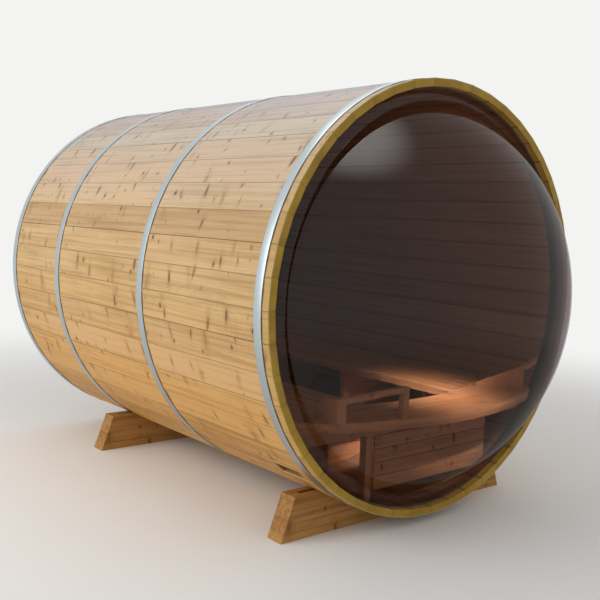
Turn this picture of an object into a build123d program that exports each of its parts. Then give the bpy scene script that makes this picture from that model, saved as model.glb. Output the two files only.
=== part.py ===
from build123d import *
import math
import os

# A cedar barrel sauna with a bubble window at one end and a glazed door at the other.
# Drawn with the barrel's axis along Y, the axis itself at X = 0, Z = 0 and the window end
# of the staves at Y = 0. Every piece is moved to its resting place when it is written.

# Barrel shell
stave_count = 48
barrel_radius = 1067.0
barrel_length = 2775.0
stave_thickness = 38.0
stave_arris = 2.0
tongue_root = 14.0
tongue_tip = 9.0
tongue_depth = 7.0
joint_clearance = 0.3
croze_depth = 11.0
fit_gap = 0.3

# Fresh air slot in one of the lower left staves
vent_stave = 29
vent_length = 178.0
vent_width = 80.0
vent_middle = 260.0
shutter_thickness = 12.0
shutter_lap = 22.0
shutter_corner = 11.0

# Steel bands
band_width = 52.0
band_thickness = 2.0
window_band_setback = 74.0
band_spacing = 1004.0
spaced_band_count = 3
door_band_setback = 32.0
tension_stave = 17
lug_height = 26.0
lug_thickness = 6.0
lug_spacing = 84.0
rod_radius = 5.0
thin_bar_sides = 12
rod_length = 122.0
nut_radius = 9.0
nut_height = 9.0

# Bubble window
flange_recess = 45.0
flange_width = 64.0
acrylic_thickness = 6.0
bubble_depth = 555.0
dome_steps = 6
window_clearance = 4.0

# Cradles
ground_gap = 48.0
front_cradle_setback = 245.0
rear_cradle_setback = 725.0
cradle_top_half_length = 722.0
cradle_rake = 78.0
cradle_height = 208.0
cradle_base_height = 44.0
cradle_plank_thickness = 38.0
cradle_slot = 28.0
cradle_block_length = 62.0
cradle_open_half_length = 250.0

# Benches and the curved seat at the window
seat_height = -510.0
slat_thickness = 38.0
slat_gap = 10.0
slats_per_bench = 7
bench_edge = 315.0
seat_nose = -178.0
seat_curve_radius = 1790.0
seat_depth = 323.0
nosing_thickness = 22.0
nosing_height = 45.0
bench_support_thickness = 38.0
bench_support_count = 4
support_clearance = 10.0
last_support_distance = 197.0
bench_overhang = 45.0

# Framing under the curved seat
seat_frame_setback = 61.0
rail_thickness = 38.0
rail_height = 100.0
leg_width = 42.0
leg_depth = 44.0
left_leg_x = -338.0
skirt_right_end = 515.0
skirt_board_count = 4
skirt_board_gap = 3.0
skirt_board_thickness = 20.0
skirt_rise = 114.0

# Guards on the curved seat: places across the barrel, distances behind the seat's front edge, heights
guard_post = 34.0
guard_board = 20.0
guard_rail_height = 24.0
left_guard_posts = (-675.0, -343.0)
left_guard_heights = (110.0, 144.0)
left_guard_lap = 4.0
left_guard_drop = 20.0
left_guard_inset = 25.0
left_guard_side_length = 155.0
left_guard_corner = 95.0
right_guard_ends = (695.0, 565.0)
right_guard_insets = (28.0, 300.0)
right_guard_heights = (140.0, 20.0)
right_rail_rise = 27.0
right_rail_setback = 49.0

# Floor
floor_rise = 167.0
floor_start = 760.0
floor_board_count = 7
floor_board_gap = 10.0
floor_board_thickness = 22.0
floor_side_gap = 8.0
joist_thickness = 38.0
joist_count = 4
joist_end_distance = 60.0

# Door end
wall_thickness = 38.0
wall_inset = 100.0
opening_half_width = 345.0
header_drop = 157.0
sill_drop = 6.0
lining_thickness = 24.0
casing_width = 62.0
casing_thickness = 18.0
door_clearance = 3.0
door_thickness = 42.0
stile_width = 92.0
bottom_rail_width = 150.0
glass_thickness = 8.0
glass_rebate = 12.0
hinge_count = 3
hinge_height = 90.0
hinge_plate_width = 34.0
hinge_plate_thickness = 3.0
hinge_pin_radius = 6.0
hinge_end_distance = 240.0
handle_length = 320.0
handle_section = 28.0
handle_chamfer = 7.0
handle_standoff = 34.0
handle_foot_radius = 9.0
handle_foot_depth = 7.0
handle_foot_spacing = 220.0

# Sizes that follow from the driving ones
stave_angle = 360 / stave_count
half_stave_angle = math.radians(stave_angle / 2)
inner_radius = barrel_radius - stave_thickness
corner_radius = barrel_radius / math.cos(half_stave_angle)
wall_back = barrel_length - wall_inset
wall_front = wall_back - wall_thickness
bubble_mouth_radius = inner_radius - flange_width
dome_radius = (bubble_mouth_radius**2 + bubble_depth**2) / (2 * bubble_depth)
dome_middle = flange_recess - bubble_depth + dome_radius
window_nose = flange_recess - bubble_depth
flange_back = flange_recess + acrylic_thickness
seat_underside = seat_height - slat_thickness
seat_middle = seat_nose + seat_curve_radius
rail_front = flange_back + seat_frame_setback
bench_end = wall_front - fit_gap
bench_wall_half_width = math.sqrt((inner_radius - fit_gap) ** 2 - seat_underside**2)
support_edge = bench_edge + bench_overhang
shutter_end = vent_middle + vent_length / 2 + shutter_lap
first_support = shutter_end + support_clearance + bench_support_thickness / 2
floor_height = floor_rise - inner_radius
opening_bottom = floor_height - sill_drop
opening_top = inner_radius - header_drop
cradle_bottom = -barrel_radius - ground_gap
cradle_top = cradle_bottom + cradle_height
cradle_half_length = cradle_top_half_length + cradle_rake
cradle_middles = [front_cradle_setback, barrel_length - rear_cradle_setback]
band_middles = [window_band_setback + index * band_spacing for index in range(spaced_band_count)]
band_middles.append(barrel_length - door_band_setback)
door_face = wall_back + casing_thickness

# A length beyond every piece, for shapes that only cut or limit others
beyond = 4 * barrel_radius

# The resting place: the middle of the length over the ground
resting_place = Pos(0, -(window_nose + barrel_length) / 2, -cradle_bottom)


def along_barrel(section, start, end):
    """Extrude a section drawn across the barrel from one station along it to another."""
    return Pos(0, start, 0) * extrude(Plane.XZ * section, amount=start - end)


def block(x_span, y_span, z_span):
    """A rectangular block between three pairs of coordinates."""
    size = [abs(span[1] - span[0]) for span in (x_span, y_span, z_span)]
    middle = [(span[0] + span[1]) / 2 for span in (x_span, y_span, z_span)]
    return Pos(*middle) * Box(*size)


def stave_outline(distance):
    """The barrel's many-sided outline, with its flats at some distance from the axis."""
    return RegularPolygon(distance, stave_count, major_radius=False)


def inside_staves():
    """The outline of what lies against the staves from inside."""
    return stave_outline(inner_radius - fit_gap)


def thin_bar(radius, length):
    """A thin round bar, upright on its middle, drawn with few sides."""
    return extrude(RegularPolygon(radius, thin_bar_sides), amount=length / 2, both=True)


def spread(first, last, count):
    """Evenly spaced stations from the first to the last."""
    return [first + (last - first) * index / (count - 1) for index in range(count)]


def joint_point(side, along, into):
    """A point on a stave's edge: how far out along the joint, and how far across it."""
    sine = math.sin(half_stave_angle)
    cosine = math.cos(half_stave_angle)
    return side * along * sine + into * cosine, along * cosine - side * into * sine


def stave_section():
    """One stave across the grain, with a tapered tongue on one edge and its groove on the other."""
    inner_corner = inner_radius / math.cos(half_stave_angle)
    middle = (inner_corner + corner_radius) / 2
    root = tongue_root / 2
    tip = tongue_tip / 2
    slack = joint_clearance
    outer_half = barrel_radius * math.tan(half_stave_angle) - stave_arris
    inner_half = inner_radius * math.tan(half_stave_angle) - stave_arris
    return make_face(Polyline(
        (inner_half, inner_radius),
        joint_point(1, inner_corner + stave_arris, 0),
        joint_point(1, middle - root, 0),
        joint_point(1, middle - tip, tongue_depth),
        joint_point(1, middle + tip, tongue_depth),
        joint_point(1, middle + root, 0),
        joint_point(1, corner_radius - stave_arris, 0),
        (outer_half, barrel_radius),
        (-outer_half, barrel_radius),
        joint_point(-1, corner_radius - stave_arris, 0),
        joint_point(-1, middle + root + slack, 0),
        joint_point(-1, middle + tip + slack, tongue_depth + slack),
        joint_point(-1, middle - tip - slack, tongue_depth + slack),
        joint_point(-1, middle - root - slack, 0),
        joint_point(-1, inner_corner + stave_arris, 0),
        (-inner_half, inner_radius),
        close=True,
    ))


def croze(start, end):
    """The straight groove cut across a stave that holds a round sheet or wall between two stations."""
    return block(
        (-barrel_radius, barrel_radius),
        (start - fit_gap, end + fit_gap),
        (inner_radius - stave_thickness, inner_radius + croze_depth),
    )


def make_stave():
    """A whole stave at the top of the barrel, with the crozes for the window and the end wall."""
    blank = along_barrel(stave_section(), 0, barrel_length)
    return blank - croze(flange_recess, flange_back) - croze(wall_front, wall_back)


def stave_groups():
    """Eight groups: each quarter of the barrel holds two sets of alternate staves."""
    stave = make_stave()
    vent_start = vent_middle - vent_length / 2
    slot = block(
        (-vent_width / 2, vent_width / 2),
        (vent_start, vent_start + vent_length),
        (inner_radius - stave_thickness, barrel_radius + stave_thickness),
    )
    groups = {}
    for index in range(stave_count):
        turn = (index + 0.5) * stave_angle
        quarter = ("upper_right", "lower_right", "lower_left", "upper_left")[int(turn // 90)]
        parity = "even" if index % 2 == 0 else "odd"
        piece = stave - slot if index == vent_stave else stave
        groups.setdefault(f"{quarter}_staves_{parity}", []).append(Rot(0, turn, 0) * piece)
    return groups


def vent_shutter():
    """The inner board that closes the fresh air slot."""
    half_length = vent_length / 2 + shutter_lap
    half_width = vent_width / 2 + shutter_lap
    top = inner_radius
    board = block(
        (-half_width, half_width),
        (vent_middle - half_length, vent_middle + half_length),
        (top - shutter_thickness, top),
    )
    board = fillet(board.edges().filter_by(Axis.Z), shutter_corner)
    return Rot(0, (vent_stave + 0.5) * stave_angle, 0) * board


def steel_band(middle):
    """A flat band that follows the staves' outer faces."""
    hoop = stave_outline(barrel_radius + band_thickness) - stave_outline(barrel_radius)
    return along_barrel(hoop, middle - band_width / 2, middle + band_width / 2)


def band_tensioner(middle):
    """Two lugs on a band, drawn together by a threaded rod and its nuts."""
    seat = barrel_radius + band_thickness
    rod_height = seat + lug_height / 2
    half_width = band_width / 2 - lug_thickness / 2
    lugs = [
        block(
            (side * lug_spacing / 2 - lug_thickness / 2, side * lug_spacing / 2 + lug_thickness / 2),
            (middle - half_width, middle + half_width),
            (seat, seat + lug_height),
        )
        for side in (-1, 1)
    ]
    rod = Pos(0, middle, rod_height) * Rot(0, 90, 0) * thin_bar(rod_radius, rod_length)
    nut_place = (lug_spacing + lug_thickness + nut_height) / 2
    nut = extrude(RegularPolygon(nut_radius, 6), amount=nut_height / 2, both=True)
    nuts = [Pos(side * nut_place, middle, rod_height) * Rot(0, 90, 0) * nut for side in (-1, 1)]
    tensioner = lugs[0] + lugs[1] + rod + nuts[0] + nuts[1]
    return Rot(0, (tension_stave + 0.5) * stave_angle, 0) * tensioner


def dome_profile(radius, station):
    """Points on a dome of that radius from its nose to a station, as distances out and along."""
    mouth = math.acos((dome_middle - station) / radius)
    angles = spread(0, mouth, dome_steps + 1)
    return [(radius * math.sin(angle), dome_middle - radius * math.cos(angle)) for angle in angles]


def bubble_window():
    """The blown acrylic bubble as one shell, with a flat flange that sits in the staves' croze."""
    flange_edge = inner_radius + croze_depth - fit_gap
    outside = dome_profile(dome_radius, flange_recess)
    inside = dome_profile(dome_radius - acrylic_thickness, flange_back)
    flange = [(flange_edge, flange_recess), (flange_edge, flange_back)]
    return revolve(make_face(Polyline(*outside, *flange, *reversed(inside), close=True)), Axis.Y)


def clear_room():
    """The space inside the bubble and the staves that benches and guards may fill."""
    window_side = flange_back + window_clearance
    outline = dome_profile(dome_radius - acrylic_thickness - window_clearance, window_side)
    in_bubble = revolve(make_face(Polyline(*outline, (0, window_side), close=True)), Axis.Y)
    return in_bubble + along_barrel(inside_staves(), window_side, bench_end)


def cradle_profile():
    """One cradle from the front: raked ends, a saddle cut for the barrel."""
    outline = make_face(Polyline(
        (-cradle_half_length, cradle_bottom),
        (-cradle_top_half_length, cradle_top),
        (cradle_top_half_length, cradle_top),
        (cradle_half_length, cradle_bottom),
        close=True,
    ))
    return outline - stave_outline(barrel_radius + fit_gap)


def between(low, high):
    """A wide rectangle across the barrel between two heights."""
    return Pos(0, (low + high) / 2) * Rectangle(beyond, high - low)


def band_hollows():
    """Room for the bands where they pass through a cradle."""
    half = band_width / 2 + fit_gap
    outline = stave_outline(barrel_radius + band_thickness + fit_gap)
    return [along_barrel(outline, middle - half, middle + half) for middle in band_middles]


def cradle(middle):
    """The shaped planks, end blocks and base board of one cradle."""
    profile = cradle_profile()
    hollows = band_hollows()
    base_top = cradle_bottom + cradle_base_height
    above_base = profile & between(base_top, cradle_top)
    near = middle - cradle_slot / 2
    far = middle + cradle_slot / 2
    outer_near = near - cradle_plank_thickness
    outer_far = far + cradle_plank_thickness
    plank_profile = above_base - Rectangle(2 * cradle_open_half_length, beyond)
    plank_pair = along_barrel(plank_profile, outer_near, near) + along_barrel(plank_profile, far, outer_far)
    planks = plank_pair - hollows
    inner_ends = cradle_top_half_length - cradle_block_length
    end_profile = above_base - Rectangle(2 * inner_ends, beyond)
    filler = along_barrel(end_profile, near, far) - hollows
    base = along_barrel(profile & between(cradle_bottom, base_top), outer_near, outer_far) - hollows
    return list(planks.solids()), list(filler.solids()), [base]


def seat_front(x):
    """The station of the curved seat's front edge at one place across the barrel."""
    return seat_middle - math.sqrt(seat_curve_radius**2 - x**2)


def seat_slice(near, far, bottom):
    """The seat between two distances behind its front edge, from some height up to its top."""
    ring = Circle(seat_curve_radius - near) - Circle(seat_curve_radius - far)
    window_half = Pos(0, -seat_curve_radius / 2) * Rectangle(2 * seat_curve_radius, seat_curve_radius)
    plan = Pos(0, seat_middle, bottom) * (ring & window_half)
    return extrude(plan, amount=seat_height - bottom)


def seat_nosing(room):
    """The bent strip on the seat's front edge, which ends at the window's flange."""
    strip = seat_slice(0, nosing_thickness, seat_height - nosing_height)
    before_flange = along_barrel(Circle(barrel_radius), window_nose, flange_recess)
    return strip & room & before_flange


def bench_slats(side, room):
    """The long slats of one bench, from the back of the curved seat to the end wall."""
    slat_width = (bench_wall_half_width - bench_edge - slat_gap * (slats_per_bench - 1)) / slats_per_bench
    pitch = slat_width + slat_gap
    seat_and_beyond = seat_slice(0, seat_depth + slat_gap, seat_underside)
    slats = []
    for index in range(slats_per_bench):
        near = bench_edge + index * pitch
        strip = block(
            (side * near, side * (near + slat_width)),
            (seat_front(near + slat_width), bench_end),
            (seat_underside, seat_height),
        )
        slats.append((strip & room) - seat_and_beyond)
    return slats


def bench_supports(side):
    """Panels cut to the barrel's curve that carry the slats of one bench."""
    corner = Pos(side * (support_edge + beyond / 2), seat_underside - beyond / 2) * Rectangle(beyond, beyond)
    profile = inside_staves() & corner
    half = bench_support_thickness / 2
    middles = spread(first_support, bench_end - last_support_distance, bench_support_count)
    return [along_barrel(profile, middle - half, middle + half) for middle in middles]


def seat_rail():
    """The cross rail under the seat, its ends cut to the barrel."""
    profile = inside_staves() & between(seat_underside - rail_height, seat_underside)
    return along_barrel(profile, rail_front, rail_front + rail_thickness)


def seat_legs():
    """Two legs under the cross rail, cut to the staves they stand on."""
    top = seat_underside - rail_height
    right_leg_x = skirt_right_end - leg_width / 2
    legs = []
    for x in (left_leg_x, right_leg_x):
        column = Pos(x, top - barrel_radius / 2) * Rectangle(leg_width, barrel_radius)
        profile = column & inside_staves()
        legs.append(along_barrel(profile, rail_front, rail_front + leg_depth))
    return legs


def seat_skirt():
    """Horizontal boards that close the front under the seat, right of the left leg."""
    left = left_leg_x + leg_width / 2
    top = seat_underside - rail_height
    bottom = skirt_rise - inner_radius
    pitch = (top - bottom + skirt_board_gap) / skirt_board_count
    middle_x = (left + skirt_right_end) / 2
    width = skirt_right_end - left
    front = rail_front - skirt_board_thickness
    boards = []
    for index in range(skirt_board_count):
        board_top = top - index * pitch
        board_bottom = board_top - pitch + skirt_board_gap
        profile = Pos(middle_x, (board_top + board_bottom) / 2)
        profile *= Rectangle(width, board_top - board_bottom)
        profile &= inside_staves()
        boards.append(along_barrel(profile, front, rail_front))
    return boards


def seat_place(x, inset):
    """A place on the seat by its distance across the barrel and behind the front edge."""
    return Vector(x, seat_front(x) + inset, seat_height)


def guard_post_at(x, near, drop, height):
    """A square guard post whose front face is at one station, from below the seat's top to above it."""
    return block(
        (x - guard_post / 2, x + guard_post / 2),
        (near, near + guard_post),
        (seat_height - drop, seat_height + height),
    )


def guard_strip(start, end, start_span, end_span, thickness):
    """A straight board on edge between two places, with its own low and high edge at each end."""
    run = end - start
    face = Plane(origin=start, x_dir=run, z_dir=run.cross(Vector(0, 0, 1)))
    outline = make_face(Polyline(
        (0, start_span[0]),
        (run.length, end_span[0]),
        (run.length, end_span[1]),
        (0, start_span[1]),
        close=True,
    ))
    return extrude(face * outline, amount=thickness / 2, both=True)


def rail_span(top):
    """The low and high edge of a guard's top rail."""
    return top - guard_rail_height, top


def left_guard(room):
    """Two posts, a rising top rail and a side board whose far corner is rounded."""
    outer_x, inner_x = left_guard_posts
    outer_top, inner_top = left_guard_heights
    half = guard_post / 2
    outer_near = seat_front(outer_x + half) - left_guard_lap
    inner_near = seat_front(inner_x) + left_guard_inset
    outer_post = guard_post_at(outer_x, outer_near, left_guard_drop, outer_top - guard_rail_height / 2)
    inner_post = guard_post_at(inner_x, inner_near, 0, inner_top - guard_rail_height / 2)
    rail = guard_strip(
        Vector(outer_x - half, outer_near + half, seat_height),
        Vector(inner_x + half, inner_near + half, seat_height),
        rail_span(outer_top),
        rail_span(inner_top),
        guard_post,
    )
    side = block(
        (outer_x - half - guard_board, outer_x - half),
        (outer_near, outer_near + left_guard_side_length),
        (seat_height, seat_height + outer_top),
    )
    far_corner = side.edges().filter_by(Axis.X).group_by(Axis.Y)[-1].sort_by(Axis.Z)[-1]
    guard = outer_post + inner_post + rail + fillet(far_corner, left_guard_corner)
    return (guard - seat_slice(0, seat_depth, seat_height - nosing_height)) & room


def right_guard(room):
    """A board that falls away from the window, and a top rail from its front corner to the wall."""
    front_x, back_x = right_guard_ends
    front_top, back_top = right_guard_heights
    front = seat_place(front_x, right_guard_insets[0])
    back = seat_place(back_x, right_guard_insets[1])
    board = guard_strip(front, back, (0, front_top), (0, back_top), guard_board)
    wall_end = Vector(inner_radius, flange_back + right_rail_setback, seat_height)
    rail = guard_strip(
        front, wall_end, rail_span(front_top), rail_span(front_top + right_rail_rise), guard_post,
    )
    return (board + rail) & room


def floor_boards():
    """Boards along the aisle."""
    half_width = support_edge - floor_side_gap
    pitch = (2 * half_width + floor_board_gap) / floor_board_count
    boards = []
    for index in range(floor_board_count):
        left = index * pitch - half_width
        boards.append(block(
            (left, left + pitch - floor_board_gap),
            (floor_start, bench_end),
            (floor_height - floor_board_thickness, floor_height),
        ))
    return boards


def floor_joists():
    """Joists under the aisle, rounded below to lie in the barrel."""
    top = floor_height - floor_board_thickness
    half_width = support_edge - floor_side_gap
    column = Pos(0, top - barrel_radius / 2) * Rectangle(2 * half_width, barrel_radius)
    profile = inside_staves() & column
    half = joist_thickness / 2
    middles = spread(floor_start + joist_end_distance, bench_end - joist_end_distance, joist_count)
    return [along_barrel(profile, middle - half, middle + half) for middle in middles]


def end_wall():
    """The round wall at the door end, in four parts around the doorway."""
    disc = along_barrel(stave_outline(inner_radius + croze_depth - fit_gap), wall_front, wall_back)
    stations = (-beyond, beyond)
    half = opening_half_width
    return {
        "end_wall_left": disc & block((-beyond, -half), stations, (-beyond, beyond)),
        "end_wall_right": disc & block((half, beyond), stations, (-beyond, beyond)),
        "end_wall_header": disc & block((-half, half), stations, (opening_top, beyond)),
        "end_wall_sill": disc & block((-half, half), stations, (-beyond, opening_bottom)),
    }


def frame_section(half_width, bottom, top, side, low, high):
    """A rectangular frame across the barrel: its outer size and its member widths."""
    outer = Pos(0, (bottom + top) / 2) * Rectangle(2 * half_width, top - bottom)
    inner_bottom = bottom + low
    inner_top = top - high
    hole = Pos(0, (inner_bottom + inner_top) / 2)
    return outer - hole * Rectangle(2 * (half_width - side), inner_top - inner_bottom)


def door_frame():
    """The lining of the doorway."""
    half = opening_half_width - fit_gap
    bottom = opening_bottom + fit_gap
    top = opening_top - fit_gap
    lining = frame_section(half, bottom, top, lining_thickness, lining_thickness, lining_thickness)
    return along_barrel(lining, wall_front, wall_back)


def door_casing():
    """The flat boards on the outside that cover the joint between the lining and the wall."""
    lap = casing_width - lining_thickness
    casing = frame_section(
        opening_half_width + lap, opening_bottom - lap, opening_top + lap,
        casing_width, casing_width, casing_width,
    )
    return along_barrel(casing, wall_back, door_face)


def door_limits():
    """Half width, bottom and top of the door leaf."""
    margin = lining_thickness + door_clearance
    return opening_half_width - margin, opening_bottom + margin, opening_top - margin


def door_leaf():
    """Stiles and rails with a groove for the glass."""
    half, bottom, top = door_limits()
    section = frame_section(half, bottom, top, stile_width, bottom_rail_width, stile_width)
    leaf = along_barrel(section, door_face - door_thickness, door_face)
    glass_middle = door_face - door_thickness / 2
    return leaf - door_pane(glass_rebate + fit_gap, glass_middle, glass_thickness + 2 * fit_gap)


def door_pane(lap, middle, thickness):
    """A pane that reaches into the leaf by some lap."""
    half, bottom, top = door_limits()
    low = bottom + bottom_rail_width - lap
    high = top - stile_width + lap
    pane = Pos(0, (low + high) / 2) * Rectangle(2 * (half - stile_width + lap), high - low)
    return along_barrel(pane, middle - thickness / 2, middle + thickness / 2)


def door_hinges():
    """Flat hinges across the joint between the leaf and its casing, on the left."""
    half, bottom, top = door_limits()
    joint_x = -half - door_clearance / 2
    low = bottom + hinge_end_distance
    high = top - hinge_end_distance
    step = (high - low) / (hinge_count - 1)
    hinges = []
    for index in range(hinge_count):
        z = low + index * step
        plates = block(
            (joint_x - hinge_plate_width, joint_x + hinge_plate_width),
            (door_face, door_face + hinge_plate_thickness),
            (z - hinge_height / 2, z + hinge_height / 2),
        )
        knuckle = Pos(joint_x, door_face + hinge_pin_radius, z) * thin_bar(hinge_pin_radius, hinge_height)
        hinges.append(plates + knuckle)
    return hinges


def door_handle():
    """A wooden pull on two round feet."""
    half, bottom, top = door_limits()
    x = half - stile_width / 2
    z = (bottom + top) / 2
    grip_start = door_face + handle_standoff
    grip = block(
        (x - handle_section / 2, x + handle_section / 2),
        (grip_start, grip_start + handle_section),
        (z - handle_length / 2, z + handle_length / 2),
    )
    grip = chamfer(grip.edges(), handle_chamfer)
    foot_length = handle_standoff + handle_foot_depth
    for side in (-1, 1):
        foot = Pos(x, door_face + foot_length / 2, z + side * handle_foot_spacing / 2)
        grip += foot * Rot(90, 0, 0) * thin_bar(handle_foot_radius, foot_length)
    return grip


def all_pieces():
    """Every node of the sauna and its solids, by name."""
    pieces = stave_groups()
    pieces["vent_shutter"] = [vent_shutter()]
    names = ("window_band", "front_middle_band", "rear_middle_band", "door_band")
    for name, middle in zip(names, band_middles):
        pieces[name] = [steel_band(middle)]
    pieces["band_tensioners"] = [band_tensioner(middle) for middle in band_middles]

    pieces["window_bubble"] = [bubble_window()]

    for name, middle in zip(("front", "rear"), cradle_middles):
        planks, blocks, base = cradle(middle)
        pieces[f"{name}_cradle_planks"] = planks
        pieces[f"{name}_cradle_end_blocks"] = blocks
        pieces[f"{name}_cradle_base"] = base

    room = clear_room()
    for name, side in (("left", -1), ("right", 1)):
        pieces[f"{name}_bench_slats"] = bench_slats(side, room)
        pieces[f"{name}_bench_supports"] = bench_supports(side)
    pieces["curved_seat_panel"] = [seat_slice(nosing_thickness, seat_depth, seat_underside) & room]
    pieces["curved_seat_nosing"] = [seat_nosing(room)]
    pieces["curved_seat_rail"] = [seat_rail()]
    pieces["curved_seat_legs"] = seat_legs()
    pieces["curved_seat_skirt"] = seat_skirt()
    pieces["left_seat_guard"] = [left_guard(room)]
    pieces["right_seat_guard"] = [right_guard(room)]

    pieces["floor_boards"] = floor_boards()
    pieces["floor_joists"] = floor_joists()

    for name, solid in end_wall().items():
        pieces[name] = [solid]
    pieces["door_frame"] = [door_frame()]
    pieces["door_casing"] = [door_casing()]
    pieces["door_leaf"] = [door_leaf()]
    pieces["door_glass"] = [door_pane(glass_rebate, door_face - door_thickness / 2, glass_thickness)]
    pieces["door_hinges"] = door_hinges()
    pieces["door_handle"] = [door_handle()]
    return pieces


def write_pieces(folder="parts"):
    """Write each node as one STEP file."""
    os.makedirs(folder, exist_ok=True)
    for name, solids in all_pieces().items():
        placed = [resting_place * solid for solid in solids]
        node = placed[0] if len(placed) == 1 else Compound(children=placed)
        export_step(node, f"{folder}/{name}.step")


write_pieces()
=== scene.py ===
import math

import bmesh
import bpy
from mathutils import Matrix, Vector


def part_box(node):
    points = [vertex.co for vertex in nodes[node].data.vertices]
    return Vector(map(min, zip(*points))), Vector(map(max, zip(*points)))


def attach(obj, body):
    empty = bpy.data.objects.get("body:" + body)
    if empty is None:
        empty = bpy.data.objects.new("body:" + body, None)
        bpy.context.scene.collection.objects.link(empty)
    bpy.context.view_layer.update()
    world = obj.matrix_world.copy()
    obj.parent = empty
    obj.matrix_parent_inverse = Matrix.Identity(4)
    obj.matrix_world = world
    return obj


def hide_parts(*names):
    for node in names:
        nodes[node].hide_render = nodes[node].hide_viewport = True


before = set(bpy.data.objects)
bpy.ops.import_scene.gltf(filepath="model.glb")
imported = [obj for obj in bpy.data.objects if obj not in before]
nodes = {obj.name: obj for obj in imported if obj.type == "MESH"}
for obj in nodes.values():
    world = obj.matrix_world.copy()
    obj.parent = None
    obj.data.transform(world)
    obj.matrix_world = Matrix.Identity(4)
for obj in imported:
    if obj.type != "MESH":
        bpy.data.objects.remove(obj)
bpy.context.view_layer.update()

# Camera: the photograph's viewpoint, in metres and degrees, with the lens in millimetres
CAMERA_PLACE = Vector((-3.1789, -3.8747, 1.5232))
CAMERA_AZIMUTH = 39.704
CAMERA_ELEVATION = -5.857
CAMERA_ROLL = 2.256
CAMERA_LENS = 51.0
CAMERA_SENSOR = 36.0

# Barrel: its stated sizes, and what the frame gives
BAND_NAMES = ("window_band", "front_middle_band", "rear_middle_band", "door_band")
STAVE_COUNT = 48
BAND_THICKNESS = 0.002
STAVE_THICKNESS = 0.038
STAVE_ANGLE = math.tau / STAVE_COUNT
CORNER_STRETCH = 1 / math.cos(STAVE_ANGLE / 2)
band_low, band_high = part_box("window_band")
stave_low, stave_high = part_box("upper_left_staves_even")
AXIS_HEIGHT = (band_low.z + band_high.z) / 2
BARREL_RADIUS = (band_high.x - band_low.x) / 2 / CORNER_STRETCH - BAND_THICKNESS
INNER_RADIUS = BARREL_RADIUS - STAVE_THICKNESS
WINDOW_END = stave_low.y
DOOR_END = stave_high.y
BANDS = [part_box(name) for name in BAND_NAMES]

# Bands and bubble window
STRAP_EDGE = 0.0007
HOOP_SIDES = 240
SHEET_THICKNESS = 0.006
FLANGE_WIDTH = 0.064
BEND_LENGTH = 0.022
BUBBLE_RINGS = 44
BUBBLE_SIDES = 192
SEAL_SIZE = 0.006
SEAL_STEPS = 6
bubble_low, bubble_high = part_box("window_bubble")
FLANGE_FRONT = bubble_high.y - SHEET_THICKNESS
FLANGE_RADIUS = (bubble_high.x - bubble_low.x) / 2
MOUTH_RADIUS = INNER_RADIUS - FLANGE_WIDTH
BUBBLE_DEPTH = FLANGE_FRONT - bubble_low.y
DOME_RADIUS = (MOUTH_RADIUS**2 + BUBBLE_DEPTH**2) / (2 * BUBBLE_DEPTH)

# Boards
SLAT_PITCH = 0.0808
SLAT_GAP = 0.010
SLATS_PER_BENCH = 7
FLOOR_BOARD_COUNT = 7
SUPPORT_COUNT = 4
SUPPORT_THICKNESS = 0.038
SKIRT_BOARDS = 4
SKIRT_GAP = 0.003
FLOOR_GAP = 0.010
WALL_BOARD = 0.115
WALL_V_JOINT = 0.005
BOARD_EDGE = 0.0025
WELD_DISTANCE = 0.00002
BEVEL_ANGLE = 40

# Door
CASING_WIDTH = 0.062
STILE_WIDTH = 0.092
BOTTOM_RAIL_WIDTH = 0.150
BEAD_SIZE = 0.011
CASING_EDGE = 0.003
LEAF_EDGE = 0.002
HINGE_COUNT = 3
HINGE_PLATE_HEIGHT = 0.09
HINGE_PLATE_THICKNESS = 0.003

# Screws and threads
SCREW_RADIUS = 0.0042
SCREW_RISE = 0.0008
RECESS_REACH = SCREW_RADIUS * 0.55
RECESS_HALF_WIDTH = SCREW_RADIUS * 0.14
SLAT_SCREW_OFFSET = 0.018
FLOOR_SCREW_OFFSET = 0.026
SKIRT_SCREW_INSET = 0.021
CASING_SCREWS = 5
CASING_SCREW_INSET = 0.09
CASING_SCREW_SIDE = CASING_WIDTH * 0.35
HINGE_SCREW_STEPS = (-0.3, 0.0, 0.3)
HINGE_SCREW_SIDES = (-0.65, 0.65)
TURN_STEP = 2.399
TENSION_STAVE = 17
LUG_HEIGHT = 0.026
ROD_LENGTH = 0.120
THREAD_RADIUS = 0.0054
THREAD_ROOT = THREAD_RADIUS * 0.85
THREAD_PITCH = 0.002
THREAD_SIDES = 12


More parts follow.
